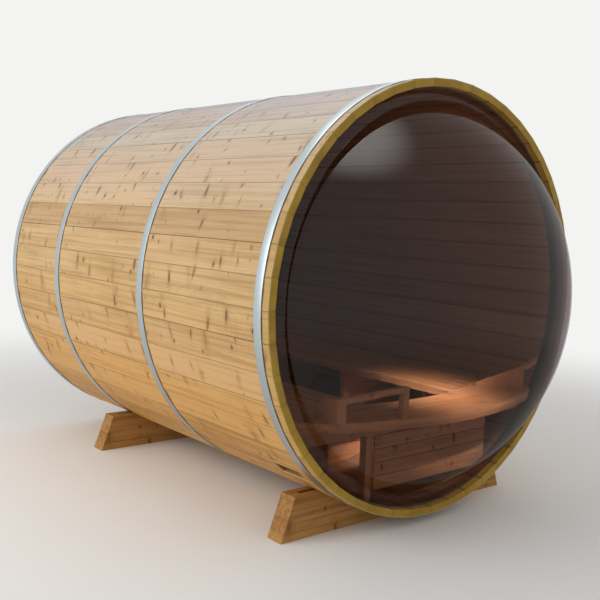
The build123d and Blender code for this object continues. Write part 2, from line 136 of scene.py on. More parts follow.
class Graph:
    """A short way to write a node tree. Each call adds nodes and gives an output socket."""

    def __init__(self, tree):
        self.tree = tree
        tree.nodes.clear()

    def node(self, kind, inputs=None, **settings):
        made = self.tree.nodes.new("ShaderNode" + kind)
        for name, value in settings.items():
            setattr(made, name, value)
        for key, value in (inputs or {}).items():
            self.feed(made.inputs[key], value)
        return made

    def feed(self, socket, value):
        if isinstance(value, bpy.types.NodeSocket):
            self.tree.links.new(value, socket)
        elif socket.type == "RGBA":
            socket.default_value = (*value, 1)
        else:
            socket.default_value = value

    def math(self, operation, a, b=0.0):
        return self.node("Math", {0: a, 1: b}, operation=operation).outputs[0]

    def add(self, a, b):
        return self.math("ADD", a, b)

    def subtract(self, a, b):
        return self.math("SUBTRACT", a, b)

    def total(self, first, *others):
        """All the numbers added up."""
        for other in others:
            first = self.add(first, other)
        return first

    def multiply(self, a, b):
        return self.math("MULTIPLY", a, b)

    def divide(self, a, b):
        return self.math("DIVIDE", a, b)

    def absolute(self, a):
        return self.math("ABSOLUTE", a)

    def larger(self, a, b):
        return self.math("MAXIMUM", a, b)

    def length(self, a, b):
        return self.math("SQRT", self.add(self.multiply(a, a), self.multiply(b, b)))

    def centred(self, value, width):
        """A number from 0 to 1 as one on both sides of zero, over some width."""
        return self.multiply(self.subtract(value, 0.5), width)

    def mix(self, factor, a, b):
        made = self.node("Mix", {0: factor, 6: a, 7: b}, data_type="RGBA")
        return made.outputs[2]

    def ramp(self, value, low, high, to_low=0.0, to_high=1.0):
        """Smooth change from one number to another as value goes from low to high."""
        inputs = {0: value, 1: low, 2: high, 3: to_low, 4: to_high}
        return self.node("MapRange", inputs, interpolation_type="SMOOTHSTEP").outputs[0]

    def vector(self, x, y, z):
        return self.node("CombineXYZ", {0: x, 1: y, 2: z}).outputs[0]

    def split(self, vector):
        return self.node("SeparateXYZ", {0: vector}).outputs

    def noise(self, vector, scale=1.0, detail=2.0, roughness=0.5):
        inputs = {"Vector": vector, "Scale": scale, "Detail": detail, "Roughness": roughness}
        return self.node("TexNoise", inputs).outputs[0]

    def randoms(self, number, board, seed):
        """Three random numbers from 0 to 1 for each pair of whole numbers."""
        inputs = {"Vector": self.vector(number, board, seed)}
        color = self.node("TexWhiteNoise", inputs, noise_dimensions="3D").outputs["Color"]
        return self.node("SeparateColor", {0: color}).outputs

    def random(self, board, seed):
        """A random number from 0 to 1 for each board."""
        return self.randoms(0.5, board, seed)[0]

    def place(self):
        """The point in the shared frame as x, y and z."""
        return self.split(self.node("TexCoord").outputs["Object"])

    def bump(self, height, strength, distance):
        return self.node("Bump", {"Strength": strength, "Distance": distance, "Height": height}).outputs[0]

    def principled(self, color, roughness, normal):
        inputs = {"Base Color": color, "Roughness": roughness, "Normal": normal}
        return self.node("BsdfPrincipled", inputs)

    def blend(self, factor, first, second):
        """One shader turning into another."""
        return self.node("MixShader", {0: factor, 1: first.outputs[0], 2: second.outputs[0]})

    def output(self, shader, kind="OutputMaterial"):
        self.tree.links.new(shader.outputs[0], self.node(kind).inputs[0])


def new_material(name):
    material = bpy.data.materials.new(name)
    material.use_nodes = True
    return material, Graph(material.node_tree)


def grain_along(axis, board_axis, start=0.0, pitch=1.0):
    """Grain coordinates for straight boards: along, across from the board's middle, depth, number, width."""

    def coordinates(graph):
        place = dict(zip("xyz", graph.place()))
        along = place.pop(axis)
        turn = graph.divide(graph.subtract(place.pop(board_axis), start), pitch)
        depth = list(place.values())[0]
        board = graph.math("FLOOR", turn)
        across = graph.centred(graph.subtract(turn, board), pitch)
        return along, across, depth, board, pitch

    return coordinates


def grain_of_staves(graph):
    """Grain coordinates for the staves: along the barrel, across each stave and through it."""
    x, y, z = graph.place()
    height = graph.subtract(z, AXIS_HEIGHT)
    turn = graph.divide(graph.math("ARCTAN2", x, height), STAVE_ANGLE)
    stave = graph.math("FLOOR", turn)
    width = STAVE_ANGLE * BARREL_RADIUS
    across = graph.centred(graph.subtract(turn, stave), width)
    depth = graph.subtract(graph.length(x, height), BARREL_RADIUS)
    return y, across, depth, stave, width


def knots(graph, coordinates, cell, half_along, half_across, share, lean, taper, seed):
    """A soft dark knot in some of the cells along a board, each with its own place, size, lean and taper."""
    along, across, depth, board, width = coordinates
    turn = graph.add(graph.divide(along, cell), graph.multiply(graph.random(board, seed), 9.0))
    number = graph.math("FLOOR", turn)
    where_along, where_across, size = graph.randoms(number, board, seed + 1.0)
    chance, tilt, tone = graph.randoms(number, board, seed + 2.0)
    here = graph.vector(graph.multiply(along, 90), graph.multiply(across, 70), number)
    wobble = graph.noise(here, detail=2)
    scale = graph.ramp(size, 0.0, 1.0, 0.6, 1.35)
    side = graph.subtract(across, graph.centred(where_across, width * 0.95))
    side_share = graph.divide(side, graph.multiply(scale, half_across))
    run = graph.centred(graph.subtract(turn, number), cell)
    run = graph.subtract(run, graph.centred(where_along, cell * 0.6))
    run = graph.add(run, graph.multiply(side, graph.centred(tilt, lean)))
    run = graph.add(run, graph.centred(wobble, half_along * 1.1))
    narrowing = graph.centred(graph.math("FRACT", graph.multiply(tilt, 7)), taper)
    girth = graph.larger(graph.add(graph.multiply(side_share, narrowing), 1.0), 0.25)
    run_share = graph.divide(run, graph.multiply(graph.multiply(scale, girth), half_along))
    reach = graph.length(run_share, side_share)
    present = graph.math("LESS_THAN", chance, share)
    strength = graph.multiply(present, graph.ramp(tone, 0.0, 1.0, 0.55, 1.0))
    core = graph.multiply(strength, graph.ramp(reach, 0.5, 1.15, 1.0, 0.0))
    halo = graph.multiply(strength, graph.ramp(reach, 0.8, 3.0, 1.0, 0.0))
    return core, halo


def all_knots(graph, coordinates, share):
    """Spike knots across the board, small round ones, and the wide soft marks of knots below the face."""
    spike, spike_halo = knots(
        graph, coordinates, cell=0.21, half_along=0.0088, half_across=0.030,
        share=0.50 * share, lean=0.6, taper=1.3, seed=10.0,
    )
    round_core, round_halo = knots(
        graph, coordinates, cell=0.24, half_along=0.0090, half_across=0.0110,
        share=0.50 * share, lean=0.4, taper=0.8, seed=20.0,
    )
    small, small_halo = knots(
        graph, coordinates, cell=0.15, half_along=0.0048, half_across=0.0090,
        share=0.42 * share, lean=0.8, taper=1.2, seed=40.0,
    )
    blur, blur_halo = knots(
        graph, coordinates, cell=0.42, half_along=0.013, half_across=0.040,
        share=0.55 * share, lean=0.4, taper=0.6, seed=30.0,
    )
    core = graph.larger(graph.multiply(spike, 0.92), round_core)
    core = graph.larger(core, graph.multiply(small, 0.9))
    core = graph.larger(core, graph.multiply(blur, 0.40))
    halo = graph.larger(graph.larger(spike_halo, small_halo), graph.larger(round_halo, blur_halo))
    return core, halo


def wood(name, grain, palette, knot_share=1.0, tone=0.12, ring_pitch=0.0055, roughness=0.55, finish=None):
    """Sawn cedar: growth rings round a pith line, streaks, fibres and knots, all in the solid wood."""
    material, graph = new_material(name)
    coordinates = grain(graph)
    along, across, depth, board, width = coordinates
    light, dark, knot = palette(graph) if callable(palette) else palette
    seed = graph.multiply(graph.random(board, 3.0), 40.0)
    core, halo = all_knots(graph, coordinates, knot_share)

    side = graph.subtract(across, graph.centred(graph.random(board, 5.0), 0.22))
    down = graph.add(depth, graph.multiply(graph.add(graph.random(board, 7.0), 0.25), 0.16))
    drift = graph.noise(graph.vector(graph.multiply(along, 0.9), seed, 0.0), detail=2)
    here = graph.vector(graph.multiply(along, 2.5), graph.multiply(across, 14), graph.add(seed, depth))
    waver = graph.noise(here, detail=2)
    ring_radius = graph.total(
        graph.length(side, down),
        graph.multiply(drift, 0.05),
        graph.multiply(waver, 0.012),
        graph.multiply(halo, 0.014),
    )
    ring = graph.math("POWER", graph.math("FRACT", graph.divide(ring_radius, ring_pitch)), 3.0)

    def stretched(along_scale, across_scale, detail, rough):
        vector = graph.vector(
            graph.multiply(along, along_scale),
            graph.add(graph.multiply(across, across_scale), seed),
            graph.multiply(depth, across_scale),
        )
        return graph.noise(vector, detail=detail, roughness=rough)

    streak = stretched(0.9, 42.0, 3.0, 0.6)
    thread = stretched(1.6, 150.0, 2.0, 0.6)
    fibre = stretched(16.0, 800.0, 2.0, 0.6)
    cloud = stretched(1.6, 9.0, 2.0, 0.5)
    chatter = stretched(75.0, 5.0, 1.0, 0.5)
    from_vein = graph.add(across, graph.centred(waver, 0.02))
    from_vein = graph.subtract(from_vein, graph.centred(graph.random(board, 9.0), 0.09))
    vein = graph.ramp(graph.absolute(from_vein), 0.0006, 0.0016, 1.0, 0.0)
    vein = graph.multiply(vein, graph.ramp(drift, 0.52, 0.62, 0.0, 0.6))

    shade = graph.total(
        graph.multiply(ring, 0.26),
        graph.ramp(chatter, 0.5, 0.75, 0.0, 0.12),
        vein,
        graph.ramp(thread, 0.38, 0.68, -0.08, 0.20),
        graph.ramp(streak, 0.38, 0.68, -0.16, 0.50),
        graph.ramp(fibre, 0.3, 0.75, 0.0, 0.12),
        graph.ramp(cloud, 0.3, 0.75, -0.10, 0.22),
        graph.centred(graph.random(board, 11.0), 4 * tone),
        graph.multiply(halo, 0.30),
    )
    shade = graph.math("MINIMUM", graph.larger(shade, 0.0), 1.0)
    color = graph.mix(graph.multiply(halo, 0.2), graph.mix(shade, light, dark), dark)
    color = graph.mix(graph.multiply(core, 0.92), color, knot)
    heart = tuple(HEART_SHARE * part for part in knot)
    color = graph.mix(graph.multiply(graph.math("POWER", core, 4.0), 0.7), color, heart)
    if finish is not None:
        color = finish(graph, color, coordinates)

    height = graph.add(graph.multiply(ring, -0.35), graph.multiply(fibre, 0.5))
    height = graph.subtract(graph.add(height, graph.multiply(streak, 0.35)), graph.multiply(core, 0.5))
    gloss = graph.ramp(fibre, 0.2, 0.8, roughness - 0.05, roughness + 0.12)
    gloss = graph.subtract(gloss, graph.multiply(core, 0.10))
    shader = graph.principled(color, gloss, graph.bump(height, 0.35, 0.0012))
    shader.inputs["IOR"].default_value = WOOD_IOR
    shader.inputs["Specular IOR Level"].default_value = WOOD_GLOSS
    graph.output(shader)
    return material


# Cedar colours: light wood, dark wood and knots
WOOD_GLOSS = 0.3
WOOD_IOR = 1.45
# Colours by height are partly weathering and partly painted light: a painted warm ground bounce low down, a
# painted bluish sky sheen high up
LOW_CEDAR_WITH_WARM_BOUNCE = ((0.67, 0.365, 0.105), (0.45, 0.225, 0.052))
MIDDLE_CEDAR = ((0.62, 0.420, 0.195), (0.43, 0.260, 0.098))
HIGH_CEDAR = ((0.58, 0.490, 0.390), (0.42, 0.335, 0.240))
TOP_CEDAR_GREYED_WITH_SKY_SHEEN = ((0.53, 0.535, 0.600), (0.38, 0.385, 0.430))
ROSY_CEDAR = (0.62, 0.40, 0.24)
BROWN_CEDAR = ((0.50, 0.315, 0.150), (0.34, 0.200, 0.085))
KNOT = (0.215, 0.105, 0.042)
HEART_SHARE = 0.42
INNER_CEDAR = ((0.66, 0.370, 0.140), (0.44, 0.205, 0.060), (0.12, 0.045, 0.016))
INSIDE_STAVES = ((0.54, 0.330, 0.185), (0.34, 0.190, 0.095))
RIM_CEDAR = ((0.42, 0.260, 0.032), (0.24, 0.138, 0.012))
RIM_EDGE = (0.50, 0.37, 0.12)
BROWN_STAVES = (-22, -10, 3, 14)
WINDOW_STRIP = (0.46, 0.295, 0.070)
# Painted shade for the cut walls below the outer face, as in the vent slot
CUT_WALL_PAINTED_SHADE = (0.19, 0.115, 0.060)
CRADLE_CEDAR = ((0.46, 0.240, 0.075), (0.27, 0.120, 0.028), (0.07, 0.028, 0.010))
WALL_CEDAR = ((0.62, 0.400, 0.180), (0.42, 0.230, 0.080), KNOT)
# Dark colour of the real stave joints, also used for the painted shadow in front of each band
JOINT_AND_BAND_SHADOW_TONE = (0.125, 0.062, 0.026)

# Marks on the staves: how far each reaches, in metres
SKIN_DEPTH = 0.003
STRIP_WIDTH = 0.040
BAND_SHADOW_START = 0.0105
BAND_SHADOW_FULL = 0.0055
END_FACE_DEPTH = 0.002
JOINT_NARROW = 0.0006
JOINT_WIDE = 0.0027


def stave_palette(graph):
    """Warm orange below, tan in the middle, greyer and lilac at the top: partly weathering, partly a painted
    warm bounce below and a painted sky sheen above.
    """
    x, y, z = graph.place()
    patches = graph.noise(graph.vector(graph.multiply(x, 1.5), graph.multiply(y, 0.9), z), detail=3)
    level = graph.divide(graph.subtract(z, AXIS_HEIGHT), BARREL_RADIUS)
    level = graph.add(level, graph.centred(patches, 0.40))
    colors = []
    for low, middle, high, top in zip(LOW_CEDAR_WITH_WARM_BOUNCE, MIDDLE_CEDAR, HIGH_CEDAR, TOP_CEDAR_GREYED_WITH_SKY_SHEEN):
        color = graph.mix(graph.ramp(level, -0.65, 0.15), low, middle)
        color = graph.mix(graph.ramp(level, 0.20, 0.70), color, high)
        colors.append(graph.mix(graph.ramp(level, 0.72, 1.02), color, top))
    stave = grain_of_staves(graph)[3]
    brown = 0.0
    for number in BROWN_STAVES:
        here = graph.math("LESS_THAN", graph.absolute(graph.subtract(stave, number)), 0.5)
        brown = graph.add(brown, graph.multiply(here, 0.8))
    light = graph.mix(graph.multiply(graph.random(stave, 13.0), 0.45), colors[0], ROSY_CEDAR)
    return graph.mix(brown, light, BROWN_CEDAR[0]), graph.mix(brown, colors[1], BROWN_CEDAR[1]), KNOT


def stave_finish(graph, color, coordinates):
    """A browner inner face, mustard end grain, fine joints, painted shade on the cut walls and a painted
    shadow along each band's front edge.
    """
    along, across, depth, board, width = coordinates
    x, y, z = graph.place()
    outside = graph.math("GREATER_THAN", depth, -SKIN_DEPTH)
    strip_end = WINDOW_END + STRIP_WIDTH
    near_window = graph.ramp(along, strip_end, strip_end + 0.007, 1.0, 0.0)
    color = graph.mix(graph.multiply(near_window, 0.45), color, WINDOW_STRIP)
    # Painted shade on every cut wall a few millimetres below the outer face
    color = graph.mix(graph.ramp(depth, -2 * SKIN_DEPTH, -SKIN_DEPTH, 0.85, 0.0), color, CUT_WALL_PAINTED_SHADE)

    here = graph.vector(graph.multiply(along, 1.2), graph.multiply(across, 45), board)
    streak = graph.ramp(graph.noise(here, detail=3), 0.3, 0.7, 0.0, 0.55)
    streak = graph.add(streak, graph.multiply(graph.random(board, 23.0), 0.45))
    inside = graph.mix(streak, INSIDE_STAVES[0], INSIDE_STAVES[1])
    inside = graph.mix(graph.multiply(near_window, 0.8), inside, RIM_CEDAR[0])
    at_inner_face = graph.ramp(depth, 0.001 - STAVE_THICKNESS, 0.004 - STAVE_THICKNESS, 0.9, 0.0)
    color = graph.mix(at_inner_face, color, inside)
    # Painted shadow on the outer face just in front of each band
    for low, high in BANDS:
        before = graph.ramp(along, low.y - BAND_SHADOW_START, low.y - BAND_SHADOW_FULL, 0.0, 0.85)
        edge = graph.multiply(before, graph.math("LESS_THAN", along, low.y + 0.002))
        color = graph.mix(graph.multiply(edge, outside), color, JOINT_AND_BAND_SHADOW_TONE)

    normal = graph.split(graph.node("NewGeometry").outputs["True Normal"])
    end = graph.math("GREATER_THAN", graph.absolute(normal[1]), 0.7)
    from_middle = graph.absolute(graph.subtract(y, (WINDOW_END + DOOR_END) / 2))
    reach = (DOOR_END - WINDOW_END) / 2 - END_FACE_DEPTH
    end = graph.multiply(end, graph.math("GREATER_THAN", from_middle, reach))
    pores = graph.noise(graph.vector(graph.multiply(x, 240), 0.0, graph.multiply(z, 240)), detail=2)
    blotch = graph.noise(graph.vector(graph.multiply(x, 9), board, graph.multiply(z, 9)), detail=2)
    end_shade = graph.add(graph.ramp(pores, 0.3, 0.7, 0.0, 0.6), graph.ramp(blotch, 0.3, 0.7, -0.2, 0.4))
    end_color = graph.mix(graph.larger(end_shade, 0.0), RIM_CEDAR[0], RIM_CEDAR[1])
    end_color = graph.mix(graph.ramp(depth, -0.006, -0.002, 0.0, 0.55), end_color, RIM_EDGE)
    color = graph.mix(end, color, end_color)

    joint = graph.math("FLOOR", graph.add(graph.divide(across, width), graph.add(board, 1.0)))
    darkness = graph.ramp(graph.random(joint, 19.0), 0.0, 1.0, 0.5, 0.85)
    darkness = graph.multiply(darkness, graph.ramp(end, 0.0, 1.0, 1.0, 0.5))
    half = graph.multiply(graph.add(1.0, graph.divide(depth, BARREL_RADIUS)), width / 2)
    to_joint = graph.subtract(half, graph.absolute(across))
    gap = graph.ramp(to_joint, JOINT_NARROW, JOINT_WIDE, 1.0, 0.0)
    return graph.mix(graph.multiply(gap, darkness), color, JOINT_AND_BAND_SHADOW_TONE)


def galvanized(name):
    """Zinc coated strap: smooth metal with faint spangle and long rolling marks."""
    material, graph = new_material(name)
    x, y, z = graph.place()
    here = graph.vector(x, y, z)
    spangle = graph.node("TexVoronoi", {"Vector": here, "Scale": 60.0}, voronoi_dimensions="3D")
    flake = graph.node("SeparateColor", {0: spangle.outputs["Color"]}).outputs[0]
    smear = graph.noise(here, scale=5.0, detail=4, roughness=0.6)
    color = graph.mix(graph.multiply(flake, 0.2), (0.44, 0.505, 0.53), (0.50, 0.565, 0.58))
    color = graph.mix(graph.ramp(smear, 0.45, 0.75, 0.0, 0.35), color, (0.34, 0.39, 0.385))
    gloss = graph.add(graph.ramp(flake, 0.0, 1.0, 0.33, 0.35), graph.ramp(smear, 0.4, 0.7, 0.0, 0.08))
    shader = graph.principled(color, gloss, graph.bump(smear, 0.10, 0.002))
    shader.inputs["Metallic"].default_value = 1.0
    graph.output(shader)
    return material


def clear_sheet(name, tint, light_tint, reflection, grazing):
    """One face of a tinted clear sheet. Lamps pass more freely than the view, and slants mirror more."""
    material, graph = new_material(name)
    x, y, z = graph.place()
    smear = graph.noise(graph.vector(x, y, z), scale=3.0, detail=3)
    rays = graph.node("LightPath").outputs
    lighting = graph.larger(rays["Is Shadow Ray"], rays["Is Diffuse Ray"])
    deep = tuple(0.97 * part for part in tint)
    through = graph.mix(lighting, graph.mix(graph.ramp(smear, 0.35, 0.7), tint, deep), light_tint)
    clear = graph.node("BsdfTransparent", {"Color": through})
    facing = graph.node("LayerWeight", {"Blend": 0.5}).outputs["Facing"]
    rise = graph.math("POWER", facing, 5.0)
    mirror = graph.add(graph.multiply(rise, grazing), reflection)
    front = graph.subtract(1.0, graph.node("NewGeometry").outputs["Backfacing"])
    mirror = graph.multiply(mirror, front)
    gloss = graph.ramp(smear, 0.3, 0.8, 0.012, 0.04)
    polish = graph.node("BsdfGlossy", {"Color": (1.0, 1.0, 1.0), "Roughness": gloss})
    graph.output(graph.blend(mirror, clear, polish))
    return material


def sealant(name):
    """Dark sealant with a slight sheen and a hand-tooled face."""
    material, graph = new_material(name)
    x, y, z = graph.place()
    ripple = graph.noise(graph.vector(x, y, z), scale=60.0, detail=2)
    color = graph.mix(ripple, (0.020, 0.017, 0.016), (0.034, 0.030, 0.028))
    gloss = graph.ramp(ripple, 0.3, 0.7, 0.42, 0.56)
    graph.output(graph.principled(color, gloss, graph.bump(ripple, 0.2, 0.001)))
    return material


def board_start(name, axis):
    """Where a row of boards starts along one axis."""
    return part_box(name)[0][axis]


def board_pitch(name, axis, count, gap):
    """The distance from board to board in a row that fills its node's box."""
    low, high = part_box(name)
    return (high[axis] - low[axis] + gap) / count


# Rows of boards that the grain follows: where each starts, and its pitch
SEAT_BOARD = 0.11
RAIL_DROP = 0.53
RAIL_BOARD = 0.12
SUPPORT_ROW = (0.06, 0.14)
LEG_ROW = (-0.36, 0.44)
SHUTTER_ROW = (-1.2, 0.6)
CRADLE_ROW = (0.0, 0.105)
HEAD_ROW = (0.209, CASING_WIDTH)
STILE_ROW = (-0.45, 0.1)
bench_edge = -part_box("left_bench_slats")[1].x
floor_pitch = board_pitch("floor_boards", 0, FLOOR_BOARD_COUNT, FLOOR_GAP)
skirt_pitch = board_pitch("curved_seat_skirt", 2, SKIRT_BOARDS, SKIRT_GAP)

zinc = galvanized("galvanized_strap")
acrylic = clear_sheet(
    "smoked_acrylic", tint=(0.60, 0.53, 0.56), light_tint=(0.86, 0.83, 0.83), reflection=0.022, grazing=0.30
)
pane = clear_sheet(
    "door_glass", tint=(0.86, 0.85, 0.83), light_tint=(0.95, 0.95, 0.94), reflection=0.035, grazing=0.6
)
seal = sealant("window_sealant")
stave_cedar = wood("stave_cedar", grain_of_staves, stave_palette, tone=0.14, finish=stave_finish)


def inner_wood(name, grain, knot_share=0.35):
    return wood(name, grain, INNER_CEDAR, knot_share=knot_share, tone=0.10, roughness=0.5)


left_start = -bench_edge - (SLATS_PER_BENCH + 2) * SLAT_PITCH
floor_start = board_start("floor_boards", 0)
skirt_start = board_start("curved_seat_skirt", 2)
seat_start = board_start("curved_seat_panel", 1)
right_slats = inner_wood("right_slat_cedar", grain_along("y", "x", bench_edge, SLAT_PITCH))
left_slats = inner_wood("left_slat_cedar", grain_along("y", "x", left_start, SLAT_PITCH))
floor_cedar = inner_wood("floor_cedar", grain_along("y", "x", floor_start, floor_pitch))
skirt_cedar = inner_wood("skirt_cedar", grain_along("x", "z", skirt_start, skirt_pitch))
seat_cedar = inner_wood("seat_cedar", grain_along("x", "y", seat_start, SEAT_BOARD))
cross_cedar = inner_wood("cross_cedar", grain_along("x", "z", AXIS_HEIGHT - RAIL_DROP, RAIL_BOARD))
support_cedar = inner_wood("support_cedar", grain_along("x", "z", *SUPPORT_ROW))
upright_cedar = inner_wood("upright_cedar", grain_along("z", "x", *LEG_ROW))
shutter_cedar = inner_wood("shutter_cedar", grain_along("y", "x", *SHUTTER_ROW))
cradle_cedar = wood("cradle_cedar", grain_along("x", "z", *CRADLE_ROW), CRADLE_CEDAR, 0.6, roughness=0.66)
wall_cedar = wood("wall_cedar", grain_along("z", "x", 0.0, WALL_BOARD), WALL_CEDAR, 0.8)
head_cedar = wood("head_cedar", grain_along("x", "z", *HEAD_ROW), WALL_CEDAR, 0.5)
stile_cedar = wood("stile_cedar", grain_along("z", "x", *STILE_ROW), WALL_CEDAR, 0.5)

# Which finish each node takes
FINISHES = {
    "galvanized_band": zinc,
    "tinted_acrylic": acrylic,
    "door_glass": pane,
    "cedar_staves": stave_cedar,
    "cradle_cedar": cradle_cedar,
    "inner_cedar": cross_cedar,
    "end_cedar": stile_cedar,
    "hinge_steel": zinc,
}
OWN_FINISHES = {
    "left_bench_slats": left_slats,
    "right_bench_slats": right_slats,
    "left_bench_supports": support_cedar,
    "right_bench_supports": support_cedar,
    "floor_boards": floor_cedar,
    "curved_seat_panel": seat_cedar,
    "curved_seat_skirt": skirt_cedar,
    "curved_seat_legs": upright_cedar,
    "vent_shutter": shutter_cedar,
}


def soften(piece, width):
    """Worn edges on a piece that keeps its own mesh."""
    weld = piece.modifiers.new("weld", "WELD")
    weld.merge_threshold = WELD_DISTANCE
    bevel = piece.modifiers.new("edges", "BEVEL")
    bevel.width = width
    bevel.segments = 2
    bevel.limit_method = "ANGLE"
    bevel.angle_limit = math.radians(BEVEL_ANGLE)


def dress_nodes():
    """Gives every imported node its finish, and worn edges to the boards."""
    for name, piece in nodes.items():
        slot_name = piece.data.materials[0].name
        piece.material_slots[0].link = "OBJECT"
        piece.material_slots[0].material = OWN_FINISHES.get(name, FINISHES[slot_name])
        if slot_name in ("inner_cedar", "cradle_cedar", "end_cedar"):
            soften(piece, BOARD_EDGE)


def new_piece(name, work, materials, replaced=(), smooth=False):
    """Turns finished mesh work into a piece that rides with the sauna."""
    bmesh.ops.recalc_face_normals(work, faces=work.faces)
    mesh = bpy.data.meshes.new(name)
    for face in work.faces:
        face.smooth = smooth
    work.to_mesh(mesh)
    work.free()
    for material in materials:
        mesh.materials.append(material)
    piece = bpy.data.objects.new(name, mesh)
    bpy.context.scene.collection.objects.link(piece)
    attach(piece, "root")
    if replaced:
        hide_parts(*replaced)


def bridge(work, first, second):
    """Faces between two closed rings of vertices."""
    for index in range(len(first)):
        after = (index + 1) % len(first)
        work.faces.new((first[index], first[after], second[after], second[index]))


def bridge_round(work, rings):
    """Faces between each ring and the next, and from the last back to the first."""
    for first, second in zip(rings, rings[1:] + rings[:1]):
        bridge(work, first, second)


def round_barrel(radius, sides):
    """Points round the barrel's axis, as pairs of x and z."""
    angles = [math.tau * index / sides for index in range(sides)]
    return [(radius * math.sin(angle), AXIS_HEIGHT + radius * math.cos(angle)) for angle in angles]


def ring_round_barrel(work, radius, y, sides):
    """A ring of vertices round the barrel's axis."""
    return [work.verts.new((x, y, z)) for x, z in round_barrel(radius, sides)]


def add_bands():
    """Each strap as a smooth round hoop with worn edges, which spans the staves' flats."""
    inner = BARREL_RADIUS * CORNER_STRETCH
    outer = (BARREL_RADIUS + BAND_THICKNESS) * CORNER_STRETCH
    for name, (low, high) in zip(BAND_NAMES, BANDS):
        section = [
            (inner, low.y + STRAP_EDGE / 2),
            (inner + STRAP_EDGE, low.y),
            (outer - STRAP_EDGE, low.y),
            (outer - STRAP_EDGE / 3, low.y + STRAP_EDGE / 2),
            (outer, low.y + 2 * STRAP_EDGE),
            (outer, high.y - 2 * STRAP_EDGE),
            (outer - STRAP_EDGE / 3, high.y - STRAP_EDGE / 2),
            (outer - STRAP_EDGE, high.y),
            (inner + STRAP_EDGE, high.y),
            (inner, high.y - STRAP_EDGE / 2),
        ]
        work = bmesh.new()
        bridge_round(work, [ring_round_barrel(work, radius, y, HOOP_SIDES) for radius, y in section])
        new_piece(name + "_hoop", work, [zinc], [name], smooth=True)


def bubble_midline():
    """The middle of the acrylic from nose to flange edge, as pairs of radius and y."""
    middle = SHEET_THICKNESS / 2
    radius = DOME_RADIUS - middle
    centre = bubble_low.y + DOME_RADIUS
    flange = FLANGE_FRONT + middle
    mouth = math.acos((centre - flange) / radius)
    bend_start = mouth - BEND_LENGTH / radius
    line = []
    for step in range(BUBBLE_RINGS + 1):
        angle = bend_start * step / BUBBLE_RINGS
        line.append((radius * math.sin(angle), centre - radius * math.cos(angle)))
    corner = Vector((radius * math.sin(mouth), flange))
    start = Vector(line[-1])
    finish = corner + Vector((BEND_LENGTH, 0))
    for share in (0.2, 0.4, 0.6, 0.8, 1.0):
        point = start * (1 - share) ** 2 + corner * 2 * share * (1 - share) + finish * share**2
        line.append((point.x, point.y))
    line.append((FLANGE_RADIUS, flange))
    return line


def offset_line(line, distance):
    """The line moved sideways, towards the outside of the bubble for a positive distance."""
    moved = []
    for index, point in enumerate(line):
        before = Vector(line[max(index - 1, 0)])
        after = Vector(line[min(index + 1, len(line) - 1)])
        run = (after - before).normalized() if index else Vector((1.0, 0.0))
        moved.append((max(point[0] + run.y * distance, 0.0), point[1] - run.x * distance))
    return moved


def add_bubble():
    """The blown acrylic bubble as one smooth shell with its bent flange."""
    work = bmesh.new()
    line = bubble_midline()
    edges = []
    for side in (1, -1):
        skin = offset_line(line, side * SHEET_THICKNESS / 2)
        nose = work.verts.new((0.0, skin[0][1], AXIS_HEIGHT))
        rings = [ring_round_barrel(work, radius, y, BUBBLE_SIDES) for radius, y in skin[1:]]
        for index in range(BUBBLE_SIDES):
            after = (index + 1) % BUBBLE_SIDES
            work.faces.new((nose, rings[0][index], rings[0][after]))
        for first, second in zip(rings, rings[1:]):
            bridge(work, first, second)
        edges.append(rings[-1])
    bridge(work, *edges)
    new_piece("bubble_shell", work, [acrylic], ["window_bubble"], smooth=True)


def add_seal():
    """A bead of sealant in the corner between the flange and the staves."""
    work = bmesh.new()
    rings = [ring_round_barrel(work, INNER_RADIUS * CORNER_STRETCH, FLANGE_FRONT, STAVE_COUNT)]
    for step in range(SEAL_STEPS + 1):
        angle = math.pi / 2 * step / SEAL_STEPS
        radius = INNER_RADIUS - SEAL_SIZE * (1 - math.sin(angle))
        forward = SEAL_SIZE * (1 - math.cos(angle))
        rings.append(ring_round_barrel(work, radius * CORNER_STRETCH, FLANGE_FRONT - forward, STAVE_COUNT))
    bridge_round(work, rings)
    new_piece("window_seal", work, [seal])


def clipped(outline, index, limit, side):
    """The part of a flat outline on one side of a straight line across it."""
    kept = []
    for here, there in zip(outline, outline[1:] + outline[:1]):
        from_here = side * (here[index] - limit)
        from_there = side * (there[index] - limit)
        if from_here >= 0:
            kept.append(here)
        if from_here * from_there < 0:
            share = from_here / (from_here - from_there)
            kept.append(tuple(a + (b - a) * share for a, b in zip(here, there)))
    return kept


def add_board(work, outline, front, back, bevel, upright_only=False):
    """A board with some outline across the barrel, its long edges eased."""
    near = [work.verts.new((x, front, z)) for x, z in outline]
    far = [work.verts.new((x, back, z)) for x, z in outline]
    faces = [work.faces.new(near), work.faces.new(list(reversed(far)))]
    eased = []
    for index in range(len(outline)):
        after = (index + 1) % len(outline)
        faces.append(work.faces.new((near[index], far[index], far[after], near[after])))
        if not upright_only or abs(outline[index][0] - outline[after][0]) < 1e-6:
            eased.append((near[index], near[after]))
            eased.append((far[index], far[after]))
    edges = [work.edges.get(pair) for pair in eased]
    bmesh.ops.bevel(work, geom=edges, offset=bevel, segments=1, affect="EDGES")
    return faces


def rectangle(x_low, x_high, z_low, z_high):
    return [(x_low, z_low), (x_high, z_low), (x_high, z_high), (x_low, z_high)]


